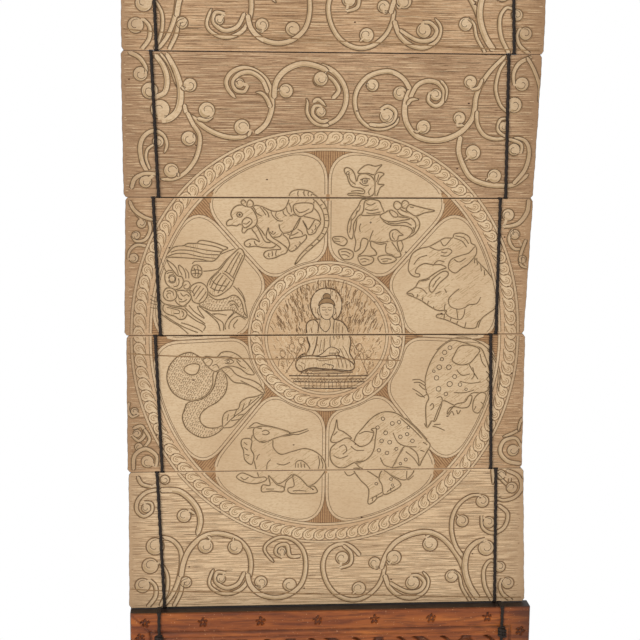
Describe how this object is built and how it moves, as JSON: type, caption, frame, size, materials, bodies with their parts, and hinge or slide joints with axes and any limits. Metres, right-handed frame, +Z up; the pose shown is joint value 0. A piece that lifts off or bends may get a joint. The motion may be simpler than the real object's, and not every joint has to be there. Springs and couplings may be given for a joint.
{
  "type": "folding manuscript",
  "caption": "Palm leaf manuscript hanging open: carved wooden covers and painted leaves strung edge to edge on two twined cords, folding like a concertina.",
  "frame": {"origin": "centre of the top cover's flat back face", "axes": "+X to the right as seen from the painted side, +Z up along the open length, +Y out of the back"},
  "size_m": [0.1738, 0.0121, 0.5871],
  "materials": {
    "teak": "carved teak, oiled, worn satin",
    "palm_leaf": "dried palm leaf, engraved and inked, dull satin",
    "cord": "dark waxed twisted cord"
  },
  "bodies": {
    "top_cover": {"top_cover": "teak", "left_cord_top_cover": "cord", "right_cord_top_cover": "cord"},
    "leaf_1": {"leaf_1": "palm_leaf", "left_cord_leaf_1": "cord", "right_cord_leaf_1": "cord"},
    "leaf_2": {"leaf_2": "palm_leaf", "left_cord_leaf_2": "cord", "right_cord_leaf_2": "cord"},
    "leaf_3": {"leaf_3": "palm_leaf", "left_cord_leaf_3": "cord", "right_cord_leaf_3": "cord"},
    "leaf_4": {"leaf_4": "palm_leaf", "left_cord_leaf_4": "cord", "right_cord_leaf_4": "cord"},
    "leaf_5": {"leaf_5": "palm_leaf", "left_cord_leaf_5": "cord", "right_cord_leaf_5": "cord"},
    "leaf_6": {"leaf_6": "palm_leaf", "left_cord_leaf_6": "cord", "right_cord_leaf_6": "cord"},
    "leaf_7": {"leaf_7": "palm_leaf", "left_cord_leaf_7": "cord", "right_cord_leaf_7": "cord"},
    "leaf_8": {"leaf_8": "palm_leaf", "left_cord_leaf_8": "cord", "right_cord_leaf_8": "cord"},
    "bottom_cover": {"bottom_cover": "teak", "left_cord_bottom_cover": "cord", "right_cord_bottom_cover": "cord", "left_knot": "cord", "right_knot": "cord"}
  },
  "joints": [
    {"name": "top_cover_hinge", "type": "hinge", "parent": "top_cover", "child": "leaf_1", "pos_m": [0, 0.0001, -0.0294], "axis": [1, 0, 0], "range_deg": [0, 180]},
    {"name": "leaf_fold_1", "type": "hinge", "parent": "leaf_1", "child": "leaf_2", "pos_m": [0, -0.004, -0.0889], "axis": [-1, 0, 0], "range_deg": [0, 180]},
    {"name": "leaf_fold_2", "type": "hinge", "parent": "leaf_2", "child": "leaf_3", "pos_m": [0, 0, -0.147], "axis": [1, 0, 0], "range_deg": [0, 180]},
    {"name": "leaf_fold_3", "type": "hinge", "parent": "leaf_3", "child": "leaf_4", "pos_m": [0, -0.004, -0.20533], "axis": [-1, 0, 0], "range_deg": [0, 180]},
    {"name": "leaf_fold_4", "type": "hinge", "parent": "leaf_4", "child": "leaf_5", "pos_m": [0, 0, -0.26384], "axis": [1, 0, 0], "range_deg": [0, 180]},
    {"name": "leaf_fold_5", "type": "hinge", "parent": "leaf_5", "child": "leaf_6", "pos_m": [0, -0.004, -0.32264], "axis": [-1, 0, 0], "range_deg": [0, 180]},
    {"name": "leaf_fold_6", "type": "hinge", "parent": "leaf_6", "child": "leaf_7", "pos_m": [0, 0, -0.37993], "axis": [1, 0, 0], "range_deg": [0, 180]},
    {"name": "leaf_fold_7", "type": "hinge", "parent": "leaf_7", "child": "leaf_8", "pos_m": [0, -0.004, -0.43844], "axis": [-1, 0, 0], "range_deg": [0, 180]},
    {"name": "bottom_cover_hinge", "type": "hinge", "parent": "leaf_8", "child": "bottom_cover", "pos_m": [0, 0.0001, -0.49852], "axis": [1, 0, 0], "range_deg": [0, 180]}
  ],
  "couplings": [
    {"joint": "leaf_fold_2", "follows": "leaf_fold_1", "ratio": 1},
    {"joint": "leaf_fold_4", "follows": "leaf_fold_3", "ratio": 1},
    {"joint": "leaf_fold_6", "follows": "leaf_fold_5", "ratio": 1},
    {"joint": "bottom_cover_hinge", "follows": "leaf_fold_7", "ratio": 1}
  ]
}
